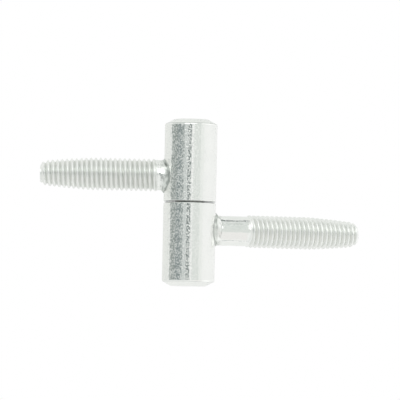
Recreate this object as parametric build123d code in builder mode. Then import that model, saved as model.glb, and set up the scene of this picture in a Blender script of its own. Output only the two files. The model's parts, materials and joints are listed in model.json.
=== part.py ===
from build123d import *
import math
import os

# Two-part drill-in hinge. Each half is a turned steel knuckle with a threaded stud welded to its side.
# The lower half carries a pressed-in pin. The upper half drops over it, rides on a ball and lifts off.
# Frame: +Z up along the hinge line, origin in the middle of the lower knuckle's bottom face,
# lower stud along +X. All sizes are in millimetres and degrees.

# Knuckles
KNUCKLE_DIA = 16.0
LOWER_KNUCKLE_HEIGHT = 25.3
UPPER_KNUCKLE_HEIGHT = 25.05
RUNNING_GAP = 0.3
END_CHAMFER_RADIAL = 2.8
END_CHAMFER_AXIAL = 1.9
END_EDGE_BREAK = 0.3
RIM_BREAK = 0.25

# Hinge pin, ball and bores
PIN_DIA = 8.0
PIN_GRIP = 16.0
PIN_REACH = 16.0
PIN_END_CHAMFER = 0.8
PIN_RUNNING_CLEARANCE = 0.05
BALL_DIA = 5.0
BALL_SEAT_DIA = 4.0
BALL_SEAT_ANGLE = 90.0
BALL_PLAY = 0.02
DRILL_POINT_ANGLE = 118.0
PRESS_BORE_SPARE = 0.5
BORE_MOUTH_CHAMFER = 0.5

# Studs
THREAD_DIA = 9.9
NECK_DIA = 9.1
LOWER_STUD_BELOW_RIM = 8.1
UPPER_STUD_ABOVE_RIM = 7.95
LOWER_NECK_LENGTH = 9.8
UPPER_NECK_LENGTH = 3.1
LOWER_THREAD_LENGTH = 35.7
UPPER_THREAD_LENGTH = 34.4
THREAD_START_BEVEL = 0.5
TIP_TAPER_LENGTH = 12.0
TIP_LAND_LENGTH = 1.8
TIP_DIA = 8.0
TIP_CHAMFER = 1.2

# Weld flash that the stud's end squeezes out against the knuckle
LOWER_FLASH_DIA = 10.7
LOWER_FLASH_RAISE = 0.15
LOWER_ROOT_FLARE = 0.6
UPPER_FLASH_DIA = 10.6
UPPER_FLASH_RAISE = -0.2
UPPER_ROOT_FLARE = 0.5
FLASH_HEIGHT = 0.45
ROOT_FLARE_LENGTH = 1.1

# Rest pose
STUDS_APART_ANGLE = 163.0

knuckle_radius = KNUCKLE_DIA / 2
upper_base = LOWER_KNUCKLE_HEIGHT + RUNNING_GAP
upper_top = upper_base + UPPER_KNUCKLE_HEIGHT

# The ball's height follows from where it touches the pin's centre cone, and the upper bore's
# depth from where its drill point touches the ball.
pin_top = LOWER_KNUCKLE_HEIGHT + PIN_REACH
seat_half_angle = math.radians(BALL_SEAT_ANGLE / 2)
drill_half_angle = math.radians(DRILL_POINT_ANGLE / 2)
ball_radius = BALL_DIA / 2
seat_depth = BALL_SEAT_DIA / 2 / math.tan(seat_half_angle)
ball_centre = pin_top - seat_depth + ball_radius / math.sin(seat_half_angle) + BALL_PLAY
running_bore_radius = PIN_DIA / 2 + PIN_RUNNING_CLEARANCE
running_bore_apex = ball_centre + ball_radius / math.sin(drill_half_angle) + BALL_PLAY
running_bore_top = running_bore_apex - running_bore_radius / math.tan(drill_half_angle)
press_bore_radius = PIN_DIA / 2
press_bore_bottom = LOWER_KNUCKLE_HEIGHT - PIN_GRIP - PRESS_BORE_SPARE
press_bore_apex = press_bore_bottom - press_bore_radius / math.tan(drill_half_angle)

os.makedirs("parts", exist_ok=True)


def make_knuckle(name, rim, end, bore_radius, bore_end, bore_apex):
    """Turn one knuckle from bar: a chamfered outer end and a blind drilled bore from its rim."""
    outward = 1 if end > rim else -1
    with BuildPart() as knuckle:
        with BuildSketch(Plane.XZ) as section:
            with BuildLine():
                Polyline(
                    (0, rim),
                    (knuckle_radius - RIM_BREAK, rim),
                    (knuckle_radius, rim + outward * RIM_BREAK),
                    (knuckle_radius, end - outward * END_CHAMFER_AXIAL),
                    (knuckle_radius - END_CHAMFER_RADIAL, end),
                    (0, end),
                    close=True,
                )
            make_face()
            end_corners = section.vertices().sort_by(Axis.Y, reverse=outward > 0)[:3]
            chamfer(end_corners.sort_by(Axis.X)[1:], length=END_EDGE_BREAK)
        revolve(axis=Axis.Z)
        with BuildSketch(Plane.XZ) as bore_section:
            with BuildLine():
                Polyline(
                    (0, rim),
                    (bore_radius + BORE_MOUTH_CHAMFER, rim),
                    (bore_radius, rim + outward * BORE_MOUTH_CHAMFER),
                    (bore_radius, bore_end),
                    (0, bore_apex),
                    close=True,
                )
            make_face()
        revolve(axis=Axis.Z, mode=Mode.SUBTRACT)
    knuckle.part.label = name
    return knuckle


def make_stud(name, heading, height, neck_length, thread_length, flash_dia, flash_raise, flare):
    """Make one stud: coped root with its weld flash, plain neck, thread diameter and tapered tip."""
    up = Vector(0, 0, 1)
    centre = Vector(0, 0, height)
    along = Vector(math.cos(math.radians(heading)), math.sin(math.radians(heading)), 0)
    side_view = Plane(origin=centre, x_dir=along, z_dir=along.cross(up))
    end_view = Plane(origin=centre, x_dir=up.cross(along), z_dir=along)
    flash_skin = knuckle_radius + FLASH_HEIGHT
    flare_end = flash_skin + ROOT_FLARE_LENGTH
    neck_radius = NECK_DIA / 2
    thread_radius = THREAD_DIA / 2
    tip_radius = TIP_DIA / 2
    thread_start = knuckle_radius + neck_length
    tip = thread_start + thread_length
    land_end = tip - TIP_CHAMFER
    land_start = land_end - TIP_LAND_LENGTH
    taper_start = land_start - TIP_TAPER_LENGTH

    with BuildPart() as flash:
        with BuildSketch(end_view):
            with Locations((0, flash_raise)):
                Circle(flash_dia / 2)
        extrude(amount=flash_skin)
        with Locations(centre):
            Cylinder(flash_skin, 2 * flash_dia, mode=Mode.INTERSECT)

    with BuildPart() as stud:
        with BuildSketch(side_view):
            with BuildLine():
                Polyline(
                    (0, 0),
                    (0, neck_radius + flare),
                    (flash_skin, neck_radius + flare),
                    (flare_end, neck_radius),
                    (thread_start, neck_radius),
                    (thread_start + THREAD_START_BEVEL, thread_radius),
                    (taper_start, thread_radius),
                    (land_start, tip_radius),
                    (land_end, tip_radius),
                    (tip, tip_radius - TIP_CHAMFER),
                    (tip, 0),
                    close=True,
                )
            make_face()
        revolve(axis=Axis(centre, along))
        add(flash.part)
        with Locations(centre):
            Cylinder(knuckle_radius, 2 * flash_dia, mode=Mode.SUBTRACT)
    stud.part.label = name
    return stud


def make_pin():
    """Turn the hinge pin: chamfered ends and a centre cone in its top that seats the ball."""
    radius = PIN_DIA / 2
    bottom = LOWER_KNUCKLE_HEIGHT - PIN_GRIP
    with BuildPart() as pin:
        with BuildSketch(Plane.XZ):
            with BuildLine():
                Polyline(
                    (0, bottom),
                    (radius - PIN_END_CHAMFER, bottom),
                    (radius, bottom + PIN_END_CHAMFER),
                    (radius, pin_top - PIN_END_CHAMFER),
                    (radius - PIN_END_CHAMFER, pin_top),
                    (BALL_SEAT_DIA / 2, pin_top),
                    (0, pin_top - seat_depth),
                    close=True,
                )
            make_face()
        revolve(axis=Axis.Z)
    pin.part.label = "hinge_pin"
    return pin


def make_ball():
    """Make the steel ball that carries the upper half on the end of the pin."""
    with BuildPart() as ball:
        with Locations((0, 0, ball_centre)):
            Sphere(ball_radius)
    ball.part.label = "thrust_ball"
    return ball


pieces = [
    make_knuckle(
        "lower_knuckle",
        LOWER_KNUCKLE_HEIGHT,
        0,
        press_bore_radius,
        press_bore_bottom,
        press_bore_apex,
    ),
    make_stud(
        "lower_stud",
        0,
        LOWER_KNUCKLE_HEIGHT - LOWER_STUD_BELOW_RIM,
        LOWER_NECK_LENGTH,
        LOWER_THREAD_LENGTH,
        LOWER_FLASH_DIA,
        LOWER_FLASH_RAISE,
        LOWER_ROOT_FLARE,
    ),
    make_pin(),
    make_ball(),
    make_knuckle(
        "upper_knuckle",
        upper_base,
        upper_top,
        running_bore_radius,
        running_bore_top,
        running_bore_apex,
    ),
    make_stud(
        "upper_stud",
        STUDS_APART_ANGLE,
        upper_base + UPPER_STUD_ABOVE_RIM,
        UPPER_NECK_LENGTH,
        UPPER_THREAD_LENGTH,
        UPPER_FLASH_DIA,
        UPPER_FLASH_RAISE,
        UPPER_ROOT_FLARE,
    ),
]

for piece in pieces:
    export_step(piece.part, f"parts/{piece.part.label}.step")
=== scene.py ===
import bisect
import bmesh
import bpy
import json
import math
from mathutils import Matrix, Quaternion, Vector, noise


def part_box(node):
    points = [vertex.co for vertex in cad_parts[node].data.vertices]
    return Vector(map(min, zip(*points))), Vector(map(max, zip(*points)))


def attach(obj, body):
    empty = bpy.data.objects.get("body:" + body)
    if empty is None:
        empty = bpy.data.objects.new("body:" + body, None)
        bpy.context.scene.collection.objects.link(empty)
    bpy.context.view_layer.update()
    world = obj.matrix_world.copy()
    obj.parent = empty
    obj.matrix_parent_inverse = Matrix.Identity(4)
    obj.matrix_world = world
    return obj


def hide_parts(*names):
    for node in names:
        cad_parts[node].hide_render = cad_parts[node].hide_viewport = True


bl_info = {
    "name": "Drill-in hinge",
    "version": (1, 0, 0),
    "blender": (4, 5, 0),
    "location": "View3D > Sidebar > Hinge",
    "description": "Dresses the packed drill-in hinge: turned knuckles, rolled threads "
                   "and zinc plating",
    "category": "Object",
}

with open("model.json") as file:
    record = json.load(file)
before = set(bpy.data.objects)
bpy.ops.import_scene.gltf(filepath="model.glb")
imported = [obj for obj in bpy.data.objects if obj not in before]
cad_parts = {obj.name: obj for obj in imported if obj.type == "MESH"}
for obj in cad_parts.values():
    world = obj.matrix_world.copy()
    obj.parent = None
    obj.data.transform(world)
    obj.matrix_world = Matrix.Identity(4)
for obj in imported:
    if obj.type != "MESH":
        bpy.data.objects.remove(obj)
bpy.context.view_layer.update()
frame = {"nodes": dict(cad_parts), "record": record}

MM = 0.001
UP = Vector((0, 0, 1))
LOWER_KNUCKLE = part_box("lower_knuckle")
UPPER_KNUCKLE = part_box("upper_knuckle")
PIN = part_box("hinge_pin")
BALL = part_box("thrust_ball")
MOUNTS = {mount["name"]: mount for mount in frame["record"]["mounts"]}
KNUCKLE_RADIUS = LOWER_KNUCKLE[1].x
LOWER_STUD_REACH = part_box("lower_stud")[1].x
# from the hinge line to the tip; the upper stud lies askew in its box, so it can't be read there
UPPER_STUD_REACH = 45.5 * MM


# Colours and small helpers

def linear(code):
    """sRGB hex to the linear colour that shaders take."""
    def channel(pair):
        value = int(pair, 16) / 255
        return value / 12.92 if value <= 0.04045 else ((value + 0.055) / 1.055) ** 2.4
    return [channel(code[i:i + 2]) for i in (0, 2, 4)]


def smooth(value):
    """An even S-curve from 0 to 1."""
    value = min(max(value, 0.0), 1.0)
    return value * value * (3 - 2 * value)


def ramp(value, points):
    """Straight-line interpolation in a list of (position, level)."""
    places = [p for p, _ in points]
    i = min(max(bisect.bisect_right(places, value), 1), len(points) - 1)
    (x0, y0), (x1, y1) = points[i - 1], points[i]
    share = min(max((value - x0) / (x1 - x0), 0.0), 1.0)
    return y0 + (y1 - y0) * share


# Sizes and colours that a user would change

def length(label, text, value):
    """A size property; value is in millimetres."""
    return bpy.props.FloatProperty(name=label, description=text, default=value * MM,
                                   min=0.0, precision=5, unit="LENGTH")


def colour(label, text, code):
    """A colour property; code is sRGB hex."""
    return bpy.props.FloatVectorProperty(name=label, description=text, subtype="COLOR",
                                         default=linear(code), min=0.0, max=1.0)


class HingeSizes(bpy.types.PropertyGroup):
    chamfer_across: length("End chamfer across", "How far the outer end's chamfer reaches in", 2.7)
    chamfer_along: length("End chamfer along", "How far it reaches down the side", 1.45)
    chamfer_round: length("Chamfer rounding", "Rounding of the chamfer's two edges", 0.5)
    rim_break: length("Rim break", "Broken edge where the knuckles face each other", 0.25)
    rim_round: length("Rim rounding", "Rounding of that broken edge", 0.15)
    thread_pitch: length("Thread pitch", "Distance between neighbouring crests", 1.46)
    thread_depth: length("Thread depth", "Depth of the rolled groove", 0.92)
    thread_radius: length("Thread radius", "Crest radius on the full thread", 4.95)
    neck_radius: length("Neck radius", "Plain part between the weld and the thread", 4.55)
    tip_radius: length("Tip radius", "Crest radius on the land at the tip", 4.0)


class HingeColours(bpy.types.PropertyGroup):
    zinc_light: colour("Zinc, light", "Bright zinc plating", "F4F5F2")
    zinc_shade: colour("Zinc, shade", "Duller patches of the plating", "ECEEEB")
    # this colour is painted shade in the thread bottoms, on the facing rims and at the flash's
    # edge, a painted dark reflection line on the chamfer's edge, and the stain of the weld's
    # blotches
    zinc_shade_and_stain: colour("Zinc, dull", "Thin plating in thread bottoms and on running faces", "7C827E")
    zinc_weld: colour("Zinc, weld", "Plating over the rough weld", "DCE0DB")
    pin_steel: colour("Pin steel", "Ground and lightly oiled steel", "C9C9C6")
    ball_steel: colour("Ball steel", "Polished bearing steel", "D2D3D4")
    floor: colour("Floor", "Plain pale studio floor", "F4F4F2")


# Materials

def add(tree, kind, settings=None, links=None):
    """Adds a node; settings are attributes or unlinked inputs, links are input: output socket."""
    node = tree.nodes.new(kind)
    for key, value in (settings or {}).items():
        if isinstance(key, str) and hasattr(node, key):
            setattr(node, key, value)
        else:
            node.inputs[key].default_value = value
    for key, socket in (links or {}).items():
        tree.links.new(socket, node.inputs[key])
    return node


def new_material(name):
    """An empty node material and its node tree."""
    material = bpy.data.materials.new(name)
    material.use_nodes = True
    material.node_tree.nodes.clear()
    return material, material.node_tree


def rgba(value):
    return (*value, 1.0)


WELD_ROUGHNESS = 0.34
ROLLED_ROUGHNESS = 0.26
# how far from the hinge line the rough weld reaches in full, and where it has gone
STUD_WELD = (8.4 * MM, 10.0 * MM)
# far outside the part and the other way round, so that nothing counts as weld
NO_WELD = (2.0, 1.0)


def zinc_plating(name, colours, pit_depth, weld_reach):
    """Bright zinc electroplate over turned steel: pale and faintly green, mirror-like but grainy.
    Roughness adds up from the pits, the weld and the rolled thread."""
    weld_full, weld_gone = weld_reach
    material, tree = new_material(name)
    place = add(tree, "ShaderNodeTexCoord").outputs["Object"]
    # plating crystals are a few hundredths of a millimetre; drawn at 0.45 mm so that they show
    grain = add(tree, "ShaderNodeTexNoise", {"Scale": 1 / (0.45 * MM), "Detail": 2.0},
                {"Vector": place})
    # duller patches a few millimetres across, left by the plating bath
    patches = add(tree, "ShaderNodeTexNoise", {"Scale": 1 / (4.0 * MM), "Detail": 3.0},
                  {"Vector": place})
    tone = add(tree, "ShaderNodeMix", {"data_type": "RGBA", 6: rgba(colours.zinc_light),
                                       7: rgba(colours.zinc_shade)}, {0: patches.outputs["Fac"]})
    # scattered pits, a little longer along the bar: the speckle seen in the dark reflections;
    # real ones are about 0.1 mm, drawn at 0.36 mm so that the camera resolves them
    drawn = add(tree, "ShaderNodeMapping", {"Scale": (1.0, 1.0, 0.7)}, {"Vector": place})
    speck = add(tree, "ShaderNodeTexNoise",
                {"Scale": 1 / (0.36 * MM), "Detail": 3.0, "Roughness": 0.6},
                {"Vector": drawn.outputs[0]})
    pits = add(tree, "ShaderNodeMapRange", {"From Min": 0.51, "From Max": 0.68},
               {"Value": speck.outputs["Fac"]})
    # distance from the hinge line picks out the rough weld at the stud's root
    split = add(tree, "ShaderNodeSeparateXYZ", None, {0: place})
    flat = add(tree, "ShaderNodeCombineXYZ", None, {0: split.outputs[0], 1: split.outputs[1]})
    away = add(tree, "ShaderNodeVectorMath", {"operation": "LENGTH"}, {0: flat.outputs[0]})
    weld = add(tree, "ShaderNodeMapRange",
               {"From Min": weld_gone, "From Max": weld_full, "To Min": 0.0, "To Max": 1.0},
               {"Value": away.outputs["Value"]})
    shade = add(tree, "ShaderNodeMix", {"data_type": "RGBA", 7: rgba(colours.zinc_weld)},
                {0: weld.outputs[0], 6: tone.outputs[2]})
    # the meshes give painted shade in the thread bottoms, on the facing rims and where the flash
    # meets the knuckle, a painted dark reflection line on the chamfer's edge and the weld's stains;
    # and they say where the thread's rolling left it matt
    shade_and_stain = add(tree, "ShaderNodeAttribute", {"attribute_name": "shade_and_stain"})
    rolled = add(tree, "ShaderNodeAttribute", {"attribute_name": "rolled"})
    shade = add(tree, "ShaderNodeMix", {"data_type": "RGBA", 7: rgba(colours.zinc_shade_and_stain)},
                {0: shade_and_stain.outputs["Fac"], 6: shade.outputs[2]})
    pits = add(tree, "ShaderNodeMath", {"operation": "SUBTRACT", "use_clamp": True},
               {0: pits.outputs[0], 1: rolled.outputs["Fac"]})
    rough = add(tree, "ShaderNodeMapRange", {"To Min": 0.07, "To Max": 0.26},
                {"Value": pits.outputs[0]})
    rough = add(tree, "ShaderNodeMath", {"operation": "MULTIPLY_ADD", 1: WELD_ROUGHNESS},
                {0: weld.outputs[0], 2: rough.outputs[0]})
    rough = add(tree, "ShaderNodeMath", {"operation": "MULTIPLY_ADD", 1: ROLLED_ROUGHNESS},
                {0: rolled.outputs["Fac"], 2: rough.outputs[0]})
    fine = add(tree, "ShaderNodeBump", {"Strength": 1.0, "Distance": 0.008 * MM},
               {"Height": grain.outputs["Fac"]})
    coarse = add(tree, "ShaderNodeBump", {"Strength": 1.0, "Distance": pit_depth},
                 {"Height": pits.outputs[0], "Normal": fine.outputs[0]})
    surface = add(tree, "ShaderNodeBsdfPrincipled", {"Metallic": 1.0},
                  {"Base Color": shade.outputs[2], "Roughness": rough.outputs[0],
                   "Normal": coarse.outputs[0]})
    add(tree, "ShaderNodeOutputMaterial", None, {0: surface.outputs[0]})
    return material


def ground_steel(colours):
    """Pin: centreless-ground steel, faint rings round it and a film of oil."""
    material, tree = new_material("ground_steel")
    place = add(tree, "ShaderNodeTexCoord").outputs["Object"]
    # grinding lines run round the pin; a real 0.02 mm spacing is drawn at 0.15 mm so that it shows
    stretch = add(tree, "ShaderNodeMapping", {"Scale": (0.02, 0.02, 1.0)}, {"Vector": place})
    lines = add(tree, "ShaderNodeTexNoise", {"Scale": 1 / (0.15 * MM), "Detail": 2.0},
                {"Vector": stretch.outputs[0]})
    # the film of oil gathers in patches a few millimetres across
    film = add(tree, "ShaderNodeTexNoise", {"Scale": 1 / (3.0 * MM), "Detail": 3.0},
               {"Vector": place})
    rough = add(tree, "ShaderNodeMapRange",
                {"From Min": 0.3, "From Max": 0.7, "To Min": 0.16, "To Max": 0.30},
                {"Value": film.outputs["Fac"]})
    tone = add(tree, "ShaderNodeMix", {"data_type": "RGBA", 6: rgba(colours.pin_steel),
                                       7: rgba([0.85 * c for c in colours.pin_steel])},
               {0: lines.outputs["Fac"]})
    bump = add(tree, "ShaderNodeBump", {"Strength": 1.0, "Distance": 0.004 * MM},
               {"Height": lines.outputs["Fac"]})
    surface = add(tree, "ShaderNodeBsdfPrincipled", {"Metallic": 1.0},
                  {"Base Color": tone.outputs[2], "Roughness": rough.outputs[0],
                   "Normal": bump.outputs[0]})
    add(tree, "ShaderNodeOutputMaterial", None, {0: surface.outputs[0]})
    return material


def bearing_steel(colours):
    """Ball: lapped and polished chromium steel, a clean mirror with faint smears."""
    material, tree = new_material("polished_bearing_steel")
    place = add(tree, "ShaderNodeTexCoord").outputs["Object"]
    # smears of a millimetre or two
    smear = add(tree, "ShaderNodeTexNoise", {"Scale": 1 / (1.5 * MM), "Detail": 3.0},
                {"Vector": place})
    rough = add(tree, "ShaderNodeMapRange",
                {"From Min": 0.35, "From Max": 0.7, "To Min": 0.04, "To Max": 0.12},
                {"Value": smear.outputs["Fac"]})
    surface = add(tree, "ShaderNodeBsdfPrincipled",
                  {"Metallic": 1.0, "Base Color": rgba(colours.ball_steel)},
                  {"Roughness": rough.outputs[0]})
    add(tree, "ShaderNodeOutputMaterial", None, {0: surface.outputs[0]})
    return material


# Mesh building

SAME_PLACE = 0.001 * MM
SHARP_ANGLE = math.radians(40)


def to_object(name, mesh, material):
    """Finishes a bmesh as a smooth-shaded object and returns it."""
    bmesh.ops.remove_doubles(mesh, verts=mesh.verts, dist=SAME_PLACE)
    bmesh.ops.dissolve_degenerate(mesh, edges=mesh.edges, dist=SAME_PLACE / 2)
    bmesh.ops.recalc_face_normals(mesh, faces=mesh.faces)
    data = bpy.data.meshes.new(name)
    mesh.to_mesh(data)
    mesh.free()
    data.shade_smooth()
    data.set_sharp_from_angle(angle=SHARP_ANGLE)
    data.materials.append(material)
    made = bpy.data.objects.new(name, data)
    bpy.context.scene.collection.objects.link(made)
    return made


def join_rings(mesh, rings):
    """Skins a list of closed rings of vertices; a ring of one vertex closes an end."""
    for low, high in zip(rings, rings[1:]):
        count = max(len(low), len(high))
        for i in range(count):
            j = (i + 1) % count
            corners = [low[i % len(low)], low[j % len(low)],
                       high[j % len(high)], high[i % len(high)]]
            corners = [c for k, c in enumerate(corners) if c not in corners[:k]]
            if len(corners) > 2:
                mesh.faces.new(corners)


# how far beyond a rounding its guard point lies
GUARD = 0.04 * MM


def rounded(corners, steps=4):
    """A polyline whose corners (x, y, radius) are rounded where a radius is given. A guard point
    on each side of a rounding keeps the smooth shading of the straight stretches even."""
    path = []
    for k, (x, y, radius) in enumerate(corners):
        here = Vector((x, y))
        if not radius or k in (0, len(corners) - 1):
            path.append(here)
            continue
        back = (Vector(corners[k - 1][:2]) - here).normalized()
        ahead = (Vector(corners[k + 1][:2]) - here).normalized()
        half = back.angle(ahead) / 2
        reach = radius / math.tan(half)
        middle = here + (back + ahead).normalized() * (radius / math.sin(half))
        start, end = here + back * reach - middle, here + ahead * reach - middle
        turn = start.angle_signed(end)
        path.append(here + back * (reach + GUARD))
        for s in range(steps + 1):
            angle = -turn * s / steps
            c, n = math.cos(angle), math.sin(angle)
            path.append(middle + Vector((start.x * c - start.y * n, start.x * n + start.y * c)))
        path.append(here + ahead * (reach + GUARD))
    return path


KNUCKLE_SIDES = 144
BORE_MOUTH = 0.5 * MM
# painted shade on the facing rims, where the gap between the knuckles is in shade: how dark at the
# rim, and how far it reaches, in rim breaks
RIM_SHADE = 0.9
RIM_SHADE_REACH = 0.9
# where the painted dark reflection line lies on the end chamfer, as insets from the barrel, and how
# dark it is painted there on the upper and on the lower knuckle
CHAMFER_LINE_FROM, CHAMFER_LINE_TO = 0.10 * MM, 0.28 * MM
CHAMFER_LINE_DARKNESS = {1: 0.55, -1: 0.25}


def make_knuckle(name, rim, end, bore_radius, bore_end, bore_apex, sizes, material):
    """One knuckle turned about the hinge line, with rounded chamfers and its blind drilled bore."""
    out = 1 if end > rim else -1
    corners = [
        (0, end, 0),
        (KNUCKLE_RADIUS - sizes.chamfer_across, end, sizes.chamfer_round),
        (KNUCKLE_RADIUS, end - out * sizes.chamfer_along, sizes.chamfer_round),
        (KNUCKLE_RADIUS, rim + out * sizes.rim_break, sizes.rim_round),
        (KNUCKLE_RADIUS - sizes.rim_break, rim, sizes.rim_round),
        (bore_radius + BORE_MOUTH, rim, 0),
        (bore_radius, rim + out * BORE_MOUTH, 0),
        (bore_radius, bore_end, 0),
        (0, bore_apex, 0),
    ]
    mesh = bmesh.new()
    shade_and_stain = mesh.verts.layers.float.new("shade_and_stain")
    rings = []
    for point in rounded(corners):
        if point.x < SAME_PLACE:
            rings.append([mesh.verts.new((0, 0, point.y))])
            continue
        rings.append([
            mesh.verts.new((point.x * math.cos(a), point.x * math.sin(a), point.y))
            for a in (2 * math.pi * i / KNUCKLE_SIDES for i in range(KNUCKLE_SIDES))
        ])
        # painted shade on the facing rims at the gap; a painted dark reflection line on the
        # chamfer's edge
        off_rim = abs(point.y - rim) / (RIM_SHADE_REACH * sizes.rim_break)
        level = RIM_SHADE * max(1 - off_rim, 0.0)
        inset = KNUCKLE_RADIUS - point.x
        if abs(point.y - end) < sizes.chamfer_along and CHAMFER_LINE_FROM < inset < CHAMFER_LINE_TO:
            level = CHAMFER_LINE_DARKNESS[out]
        for vertex in rings[-1]:
            vertex[shade_and_stain] = level
    join_rings(mesh, rings)
    return to_object(name, mesh, material)


STUD_SIDES = 80
# where the rows of one thread turn lie, as shares of a pitch; the crest is in the middle
THREAD_ROWS = (0.0, 0.1, 0.2, 0.3, 0.35, 0.4, 0.45, 0.5, 0.55, 0.6, 0.65, 0.7, 0.8, 0.9)
# share of the half pitch that the crest's rounding takes, and the curve that meets the flank there
CREST_SHARE = 0.4
CREST_CURVE = 1 / (CREST_SHARE - CREST_SHARE ** 2 / 2)
# the coped foot's height over the knuckle, and the spacing of the neck's rows
FOOT_HEIGHT = 0.95 * MM
NECK_ROW = 1.2 * MM
# how dark the painted shade is where the flash's edge meets the knuckle, and the most that a weld
# stain may be
FLASH_EDGE_SHADE = 0.45
BLOTCH_LIMIT = 0.6


def thread_form(share):
    """0 at the bottom of a rolled groove and 1 on its rounded crest, straight flanks between."""
    off = abs((share % 1.0) - 0.5) * 2
    if off < CREST_SHARE:
        return 1 - CREST_CURVE * off ** 2 / 2
    return CREST_CURVE * CREST_SHARE * (1 - off)


def make_stud(name, mount, start, reach, runout, first_crest, groove_shade, root, seed, stain,
              sizes, material):
    """One stud: coped welded root with its flash, plain neck, and a right-hand rolled thread
    that keeps its depth down the tapered tip. start, reach and first_crest are distances from the
    hinge line, runout is the length over which the thread grows out of the neck, and the argument
    after first_crest sets how dark the groove's bottom is painted, as painted shade. root holds
    (flash radius, raise, flare, unevenness) in millimetres and stain (where the weld's stained
    blotches fall, how strong they are)."""
    along = Vector(mount["axis"])
    side = UP.cross(along)
    centre = Vector((0, 0, mount["pos_m"][2]))
    flash_radius, flash_raise, flare, lumps = (value * MM for value in root)
    stain_place, stain_level = stain
    pitch, depth = sizes.thread_pitch, sizes.thread_depth
    neck = sizes.neck_radius
    full, tip = sizes.thread_radius, sizes.tip_radius
    # crest radius along the stud: bevel at the neck, full thread, soft taper, rounded end
    crest_line = [(start, neck), (start + runout, full), (reach - 15.5 * MM, full)]
    crest_line += [(reach - back * MM, tip + (full - tip) * share) for back, share in
                   ((14.0, 0.93), (11.0, 0.73), (8.0, 0.48), (5.0, 0.2), (3.0, 0.02))]
    crest_line += [(reach - back * MM, tip - drop * MM) for back, drop in
                   ((2.0, 0.12), (1.2, 0.35), (0.5, 0.75), (0.0, 1.25))]
    depth_line = [(start, 0.0), (start + 2 * runout, 1.0), (reach - 1.2 * MM, 0.9), (reach, 0.25)]

    def rough(angle, away, size, salt):
        """Noise round and along the stud: a larger size is finer, and each salt a pattern."""
        spot = Vector((math.cos(angle) * size, math.sin(angle) * size, away * size + salt))
        return noise.noise(spot + Vector((seed, seed, seed)))

    def point(radius, angle, away, lift=0.0):
        """A point on the stud; angle 0 is level, away is the distance from the hinge line."""
        across, above = radius * math.cos(angle), radius * math.sin(angle) + lift
        return centre + along * away + side * across + UP * above

    def on_knuckle(radius, angle, out, straight):
        """Distance along the stud to a point that lies out above the knuckle's round side;
        straight fades that round into a flat ring."""
        across = radius * math.cos(angle)
        curved = math.sqrt(max((KNUCKLE_RADIUS + out) ** 2 - across ** 2, 0.0))
        return curved + (KNUCKLE_RADIUS + out - curved) * straight

    def hollow(away, angle):
        """How deep the thread's groove is here, of its full depth."""
        form = thread_form((away - first_crest) / pitch - angle / (2 * math.pi) + 0.5)
        return ramp(away, depth_line) * (1 - form)

    def surface(away, angle):
        """The stud's radius outside the foot."""
        return ramp(away, crest_line) - depth * hollow(away, angle)

    mesh = bmesh.new()
    shade_and_stain = mesh.verts.layers.float.new("shade_and_stain")
    rolled = mesh.verts.layers.float.new("rolled")
    angles = [2 * math.pi * i / STUD_SIDES for i in range(STUD_SIDES)]

    # coped foot and flash: radius, height off the knuckle, unevenness, straightness, share of raise
    foot = [
        (0.5 * flash_radius, 0.0, 0.0, 0.0, 1.0),
        (flash_radius, -0.03 * MM, 0.40, 0.0, 1.0),
        (flash_radius - 0.10 * MM, 0.08 * MM, 0.40, 0.0, 1.0),
        (flash_radius - 0.26 * MM, 0.20 * MM, 0.40, 0.0, 1.0),
        (flash_radius - 0.48 * MM, 0.30 * MM, 0.36, 0.05, 0.9),
        (neck + flare * 0.60, 0.42 * MM, 0.28, 0.25, 0.7),
        (neck + flare * 0.32, 0.55 * MM, 0.20, 0.5, 0.4),
        (neck + flare * 0.10, 0.73 * MM, 0.10, 0.8, 0.15),
        (neck, FOOT_HEIGHT, 0.04, 1.0, 0.0),
    ]
    rings = [[mesh.verts.new(point(0.0, 0.0, KNUCKLE_RADIUS, flash_raise))]]
    for row, (radius, out, uneven, straight, lifted) in enumerate(foot):
        ring = []
        for angle in angles:
            wobble = rough(angle, row * 0.2, 2.2, 0.0) + 0.5 * rough(angle, row * 0.35, 5.0, 3.0)
            wide = radius + uneven * lumps * wobble
            high = out + uneven * 0.6 * lumps * rough(angle, row * 0.3, 4.0, 7.0) * (row > 1)
            away = on_knuckle(wide, angle, high, straight)
            ring.append(mesh.verts.new(point(wide, angle, away, flash_raise * lifted)))
            # painted shade where the flash's edge meets the knuckle, and stained blotches over the
            # weld
            blotch = max(stain_level * rough(angle, row * 0.45, 3.2, stain_place), 0.0)
            ring[-1][shade_and_stain] = FLASH_EDGE_SHADE if row in (1, 2) else min(blotch, BLOTCH_LIMIT)
        rings.append(ring)

    # plain neck; its first row lies close to the foot, and the weld's unevenness dies out along it
    first = KNUCKLE_RADIUS + FOOT_HEIGHT
    count = max(2, round((start - first) / NECK_ROW))
    for share in [0.1 / count] + [k / count for k in range(1, count + 1)]:
        away = first + (start - first) * share
        settle = 0.10 * lumps * max(1 - share, 0.0)
        ring = []
        for angle in angles:
            radius = surface(away, angle) + settle * rough(angle, share, 3.0, 9.0)
            ring.append(mesh.verts.new(point(radius, angle, away)))
        rings.append(ring)
    join_rings(mesh, rings)

    # thread: rows follow the helix, so one turn's last column meets the next turn's first
    per_turn = len(THREAD_ROWS)
    turns = math.ceil((reach - start) / pitch) + 3
    rows = []
    for j in range((turns + 1) * per_turn + 1):
        base = first_crest + pitch * (j // per_turn + THREAD_ROWS[j % per_turn] - 0.5)
        base += pitch * (math.floor((start - first_crest) / pitch) - 1)
        row = []
        for i, angle in enumerate(angles):
            away = min(max(base + pitch * i / STUD_SIDES, start), reach)
            vertex = mesh.verts.new(point(surface(away, angle), angle, away))
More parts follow.
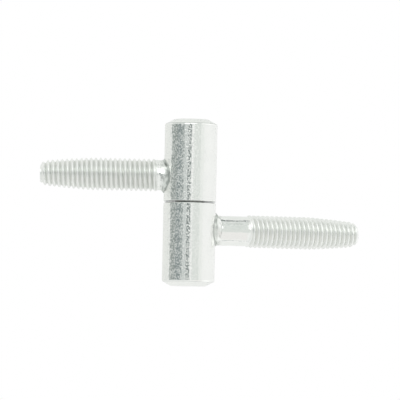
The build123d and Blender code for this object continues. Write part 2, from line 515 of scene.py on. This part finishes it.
            # painted shade in the bottom of the groove
            vertex[shade_and_stain] = groove_shade * smooth((hollow(away, angle) - 0.5) / 0.5)
            vertex[rolled] = smooth((away - start) / (0.3 * pitch) + 0.3)
            row.append(vertex)
        rows.append(row)
    for j in range(len(rows) - 1 - per_turn):
        for i in range(STUD_SIDES):
            last = i == STUD_SIDES - 1
            k, jump = (0, per_turn) if last else (i + 1, 0)
            mesh.faces.new((rows[j][i], rows[j + jump][k], rows[j + jump + 1][k], rows[j + 1][i]))

    # slightly domed sheared end
    cap = []
    for share, bulge in ((1.0, 0.0), (0.96, 0.05), (0.88, 0.09), (0.7, 0.13), (0.4, 0.16)):
        cap.append([mesh.verts.new(point(surface(reach, a) * share, a, reach + bulge * MM))
                    for a in angles])
        for vertex in cap[-1]:
            vertex[rolled] = 1.0
    cap.append([mesh.verts.new(point(0.0, 0.0, reach + 0.17 * MM))])
    join_rings(mesh, cap)
    return to_object(name, mesh, material)


# Stage

def make_sheet(name, rows, material):
    """A sheet skinned from rows of points."""
    mesh = bmesh.new()
    grid = [[mesh.verts.new(p) for p in row] for row in rows]
    for low, high in zip(grid, grid[1:]):
        for i in range(len(low) - 1):
            mesh.faces.new((low[i], low[i + 1], high[i + 1], high[i]))
    made = to_object(name, mesh, material)
    return made


def card_material(name, value, strength):
    """Evenly glowing studio card."""
    material, tree = new_material(name)
    glow = add(tree, "ShaderNodeEmission", {"Color": rgba(value), "Strength": strength})
    add(tree, "ShaderNodeOutputMaterial", None, {0: glow.outputs[0]})
    return material


# The camera looks square on at the upper stud. The scale is the photo's, in which the 16 mm
# knuckle is 52.7 pixels wide, and GAP_PIXEL is where the middle of the gap lies in it.
CAMERA_AZIMUTH = math.radians(-17.0)
CAMERA_ELEVATION = math.radians(-2.6)
CAMERA_ROLL = math.radians(1.18)
CAMERA_DISTANCE = 1.2
PIXELS_PER_METRE = 3294.0
GAP_PIXEL = (189.8, 202.5)
IMAGE_PIXELS = 400
SENSOR = 36.0
FLOOR_LEVEL = -0.075


def camera_back(azimuth, elevation):
    """The direction from the part to something at this azimuth and elevation."""
    return Vector((math.sin(azimuth) * math.cos(elevation),
                   -math.cos(azimuth) * math.cos(elevation), math.sin(elevation)))


def make_camera(scene):
    """A long lens with a little roll that puts the gap between the knuckles at GAP_PIXEL."""
    back = camera_back(CAMERA_AZIMUTH, CAMERA_ELEVATION)
    turn = (-back).to_track_quat("-Z", "Y") @ Quaternion((0, 0, 1), CAMERA_ROLL)
    right, up = turn @ Vector((1, 0, 0)), turn @ Vector((0, 1, 0))
    gap = Vector((0, 0, (LOWER_KNUCKLE[1].z + UPPER_KNUCKLE[0].z) / 2))
    half = IMAGE_PIXELS / 2
    aim = gap + right * ((half - GAP_PIXEL[0]) / PIXELS_PER_METRE)
    aim += up * ((GAP_PIXEL[1] - half) / PIXELS_PER_METRE)
    data = bpy.data.cameras.new("camera")
    data.sensor_width = SENSOR
    data.lens = SENSOR * CAMERA_DISTANCE / (IMAGE_PIXELS / PIXELS_PER_METRE)
    data.clip_start, data.clip_end = 0.05, 50
    camera = bpy.data.objects.new("camera", data)
    camera.rotation_mode = "QUATERNION"
    camera.rotation_quaternion = turn
    camera.location = aim + back * CAMERA_DISTANCE
    scene.collection.objects.link(camera)
    scene.camera = camera


# What stands round the part in the studio, as its plating mirrors it: name, colour, strength, and
# the span of angles from the camera (right is positive) and above the horizon, in degrees
CARDS = (
    ("card_dark_left", "989F9D", 1.0, (-93, -62), (-7, 12)),
    ("card_dark_middle", "8E9798", 1.0, (-62, -41), (-7, 12)),
    ("card_dark_right", "9CA4A3", 1.0, (-41, -28), (-7, 12)),
    ("card_streak", "D2D7D6", 1.0, (-27, -14), (-7, 12)),
    ("card_camera", "899190", 1.0, (-13, 3), (-7, 12)),
    ("card_pale", "E4E8E5", 1.0, (13, 44), (-12, 12)),
    ("card_pale_edge", "F7F9F7", 1.0, (44, 60), (-12, 12)),
    ("card_band_low", "DFE4E1", 1.0, (26, 48), (12, 40)),
    ("card_band_middle", "D3D8D5", 1.0, (31, 56), (40, 56)),
    ("card_band_high", "DBE0DD", 1.0, (41, 76), (56, 67)),
    ("card_line_high", "838B89", 1.0, (66, 112), (67.5, 76)),
    ("card_line_low", "AEB5B3", 1.0, (74, 92), (-75, -69)),
    ("card_low_right", "F9F7F6", 1.0, (30, 72), (-67, -13)),
    ("card_side_high", "FFFFFF", 1.2, (62, 128), (15, 60)),
    ("card_side_low", "FFFFFF", 1.35, (74, 128), (-66, -14)),
    ("card_left_high", "E6EAE7", 1.0, (-100, -30), (14, 80)),
    ("card_left_low", "F4F6F5", 1.0, (-100, 8), (-80, -10)),
    ("card_top", "D2D7D4", 1.0, (-60, 4), (74, 89)),
    ("card_top_right", "C4CAC7", 1.0, (4, 66), (74, 89)),
    ("card_back", "F3F4F2", 1.0, (-175, -98), (-20, 12)),
    ("card_behind_high", "F3F5F3", 1.0, (130, 232), (18, 80)),
    ("card_behind_low", "FAFBFA", 1.0, (130, 232), (-80, -18)),
)
CARD_CENTRE = Vector((0, 0, 0.026))
CARD_DISTANCE = 0.7
CARD_STEPS = 12


def make_cards():
    """Curved cards that only reflections see."""
    for name, code, strength, across, above in CARDS:
        rows = []
        for j in range(CARD_STEPS + 1):
            height = math.radians(above[0] + (above[1] - above[0]) * j / CARD_STEPS)
            rows.append([])
            for k in range(CARD_STEPS + 1):
                turn = math.radians(across[0] + (across[1] - across[0]) * k / CARD_STEPS)
                towards = camera_back(CAMERA_AZIMUTH + turn, height)
                rows[-1].append(CARD_CENTRE + towards * CARD_DISTANCE)
        card = make_sheet(name, rows, card_material(name, linear(code), strength))
        card.visible_camera = False
        card.visible_diffuse = False
        card.visible_shadow = False


def make_floor(colours):
    """Matt pale floor below the held part: a square sheet of 4 m that reflections leave out."""
    material, tree = new_material("matt_floor")
    place = add(tree, "ShaderNodeTexCoord").outputs["Object"]
    # the paint's very faint mottle, in patches of 60 mm
    mottle = add(tree, "ShaderNodeTexNoise", {"Scale": 1 / (60 * MM), "Detail": 2.0},
                 {"Vector": place})
    tone = add(tree, "ShaderNodeMix", {"data_type": "RGBA", 6: rgba(colours.floor),
                                       7: rgba([0.99 * c for c in colours.floor])},
               {0: mottle.outputs["Fac"]})
    surface = add(tree, "ShaderNodeBsdfPrincipled", {"Roughness": 0.9},
                  {"Base Color": tone.outputs[2]})
    add(tree, "ShaderNodeOutputMaterial", None, {0: surface.outputs[0]})
    size, steps = 2.0, 8
    rows = [[Vector((-size + 2 * size * i / steps, -size + 2 * size * j / steps, FLOOR_LEVEL))
             for i in range(steps + 1)] for j in range(steps + 1)]
    floor = make_sheet("floor", rows, material)
    floor.visible_glossy = False


def make_world(scene):
    """White surroundings for the camera and reflections, a softer level for everything else."""
    world = bpy.data.worlds.new("studio")
    world.use_nodes = True
    tree = world.node_tree
    tree.nodes.clear()
    path = add(tree, "ShaderNodeLightPath")
    seen = add(tree, "ShaderNodeMath", {"operation": "MAXIMUM"},
               {0: path.outputs["Is Camera Ray"], 1: path.outputs["Is Glossy Ray"]})
    seen = add(tree, "ShaderNodeMath", {"operation": "MAXIMUM"},
               {0: seen.outputs[0], 1: path.outputs["Is Transmission Ray"]})
    soft = add(tree, "ShaderNodeBackground", {"Color": (1, 1, 1, 1), "Strength": 0.75})
    white = add(tree, "ShaderNodeBackground", {"Color": (1, 1, 1, 1), "Strength": 1.0})
    mix = add(tree, "ShaderNodeMixShader", None,
              {0: seen.outputs[0], 1: soft.outputs[0], 2: white.outputs[0]})
    add(tree, "ShaderNodeOutputWorld", None, {0: mix.outputs[0]})
    scene.world = world


LAMP_AIM = Vector((0, 0, 0.025))
# where the front softbox stands, in degrees from the camera and above the horizon, and how far off
FRONT_LAMP_ANGLES = (-9, 36)
FRONT_LAMP_DISTANCE = 0.9


def make_lamp(scene, name, place, size, power, mirrored):
    """A rectangular softbox aimed at the part; mirrored says whether the plating shows it."""
    data = bpy.data.lights.new(name, "AREA")
    data.shape = "RECTANGLE"
    data.size, data.size_y = size
    data.energy = power
    lamp = bpy.data.objects.new(name, data)
    lamp.location = place
    lamp.rotation_mode = "QUATERNION"
    lamp.rotation_quaternion = (LAMP_AIM - Vector(place)).to_track_quat("-Z", "Y")
    lamp.visible_glossy = mirrored
    scene.collection.objects.link(lamp)


# Fits of the bearing, as the solids have them
DRILL_POINT = math.radians(118)
PRESS_BORE_SPARE = 0.5 * MM
RUNNING_CLEARANCE = 0.05 * MM
BALL_PLAY = 0.02 * MM


def dress(made, node, body):
    """Puts a finished piece on its body in place of the solid that it stands for."""
    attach(made, body)
    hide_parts(node)


# Operators

class HINGE_OT_stage(bpy.types.Operator):
    """Makes the camera, floor, reflecting cards, world and lamps"""
    bl_idname = "hinge.stage"
    bl_label = "Stage"

    def execute(self, context):
        scene = context.scene
        scene.view_settings.view_transform = "Standard"
        make_camera(scene)
        make_floor(scene.hinge_colours)
        make_cards()
        make_world(scene)
        make_lamp(scene, "softbox_above", (-0.5, 0.4, 1.6), (1.2, 1.2), 12.0, False)
        turn, height = (math.radians(angle) for angle in FRONT_LAMP_ANGLES)
        front = camera_back(CAMERA_AZIMUTH + turn, height) * FRONT_LAMP_DISTANCE
        make_lamp(scene, "softbox_front", front, (0.90, 0.50), 1.3, True)
        return {"FINISHED"}


class HINGE_OT_knuckles(bpy.types.Operator):
    """Turns both knuckles with rounded chamfers and zinc plating"""
    bl_idname = "hinge.knuckles"
    bl_label = "Knuckles"

    def execute(self, context):
        sizes, colours = context.scene.hinge_sizes, context.scene.hinge_colours
        plating = zinc_plating("zinc_plating_turned", colours, 0.027 * MM, NO_WELD)
        half_point = DRILL_POINT / 2
        press_radius = PIN[1].x
        press_end = PIN[0].z - PRESS_BORE_SPARE
        press_apex = press_end - press_radius / math.tan(half_point)
        ball_radius = (BALL[1].z - BALL[0].z) / 2
        ball_centre = BALL[1].z - ball_radius
        running_radius = press_radius + RUNNING_CLEARANCE
        running_apex = ball_centre + ball_radius / math.sin(half_point) + BALL_PLAY
        running_end = running_apex - running_radius / math.tan(half_point)
        lower = make_knuckle("lower_knuckle_turned", LOWER_KNUCKLE[1].z, 0.0,
                             press_radius, press_end, press_apex, sizes, plating)
        upper = make_knuckle("upper_knuckle_turned", UPPER_KNUCKLE[0].z, UPPER_KNUCKLE[1].z,
                             running_radius, running_end, running_apex, sizes, plating)
        dress(lower, "lower_knuckle", "lower_half")
        dress(upper, "upper_knuckle", "upper_half")
        return {"FINISHED"}


class HINGE_OT_studs(bpy.types.Operator):
    """Makes both studs with their weld flash and rolled threads"""
    bl_idname = "hinge.studs"
    bl_label = "Studs"

    def execute(self, context):
        sizes, colours = context.scene.hinge_sizes, context.scene.hinge_colours
        plating = zinc_plating("zinc_plating_rolled", colours, 0.012 * MM, STUD_WELD)
        lower = make_stud("lower_stud_rolled", MOUNTS["lower_stud"],
                          start=18.15 * MM, reach=LOWER_STUD_REACH, runout=0.4 * MM,
                          first_crest=18.57 * MM, groove_shade=0.0,
                          root=(5.35, 0.15, 0.6, 0.9), seed=11.0, stain=(5.0, 1.0),
                          sizes=sizes, material=plating)
        upper = make_stud("upper_stud_rolled", MOUNTS["upper_stud"],
                          start=9.7 * MM, reach=UPPER_STUD_REACH, runout=0.9 * MM,
                          first_crest=12.33 * MM, groove_shade=0.11,
                          root=(5.3, -0.2, 0.5, 1.1), seed=47.0, stain=(49.0, 2.0),
                          sizes=sizes, material=plating)
        dress(lower, "lower_stud", "lower_half")
        dress(upper, "upper_stud", "upper_half")
        return {"FINISHED"}


class HINGE_OT_pin_and_ball(bpy.types.Operator):
    """Finishes the hinge pin and the ball that carries the upper half"""
    bl_idname = "hinge.pin_and_ball"
    bl_label = "Pin and ball"

    def execute(self, context):
        colours = context.scene.hinge_colours
        for node, material in (("hinge_pin", ground_steel(colours)),
                               ("thrust_ball", bearing_steel(colours))):
            data = frame["nodes"][node].data
            data.materials.clear()
            data.materials.append(material)
        return {"FINISHED"}


class HINGE_PT_panel(bpy.types.Panel):
    """Lists the hinge's operators and sizes"""
    bl_idname = "HINGE_PT_panel"
    bl_label = "Drill-in hinge"
    bl_space_type = "VIEW_3D"
    bl_region_type = "UI"
    bl_category = "Hinge"

    def draw(self, context):
        column = self.layout.column()
        for operator in OPERATORS:
            column.operator(operator.bl_idname)
        for group in (context.scene.hinge_sizes, context.scene.hinge_colours):
            for key in group.__annotations__:
                column.prop(group, key)


OPERATORS = (HINGE_OT_stage, HINGE_OT_knuckles, HINGE_OT_studs, HINGE_OT_pin_and_ball)
CLASSES = (HingeSizes, HingeColours, *OPERATORS, HINGE_PT_panel)


def register():
    for item in CLASSES:
        bpy.utils.register_class(item)
    bpy.types.Scene.hinge_sizes = bpy.props.PointerProperty(type=HingeSizes)
    bpy.types.Scene.hinge_colours = bpy.props.PointerProperty(type=HingeColours)


def unregister():
    del bpy.types.Scene.hinge_colours
    del bpy.types.Scene.hinge_sizes
    for item in reversed(CLASSES):
        bpy.utils.unregister_class(item)


def main():
    register()
    bpy.ops.hinge.stage()
    bpy.ops.hinge.knuckles()
    bpy.ops.hinge.studs()
    bpy.ops.hinge.pin_and_ball()


if __name__ == "__main__":
    main()
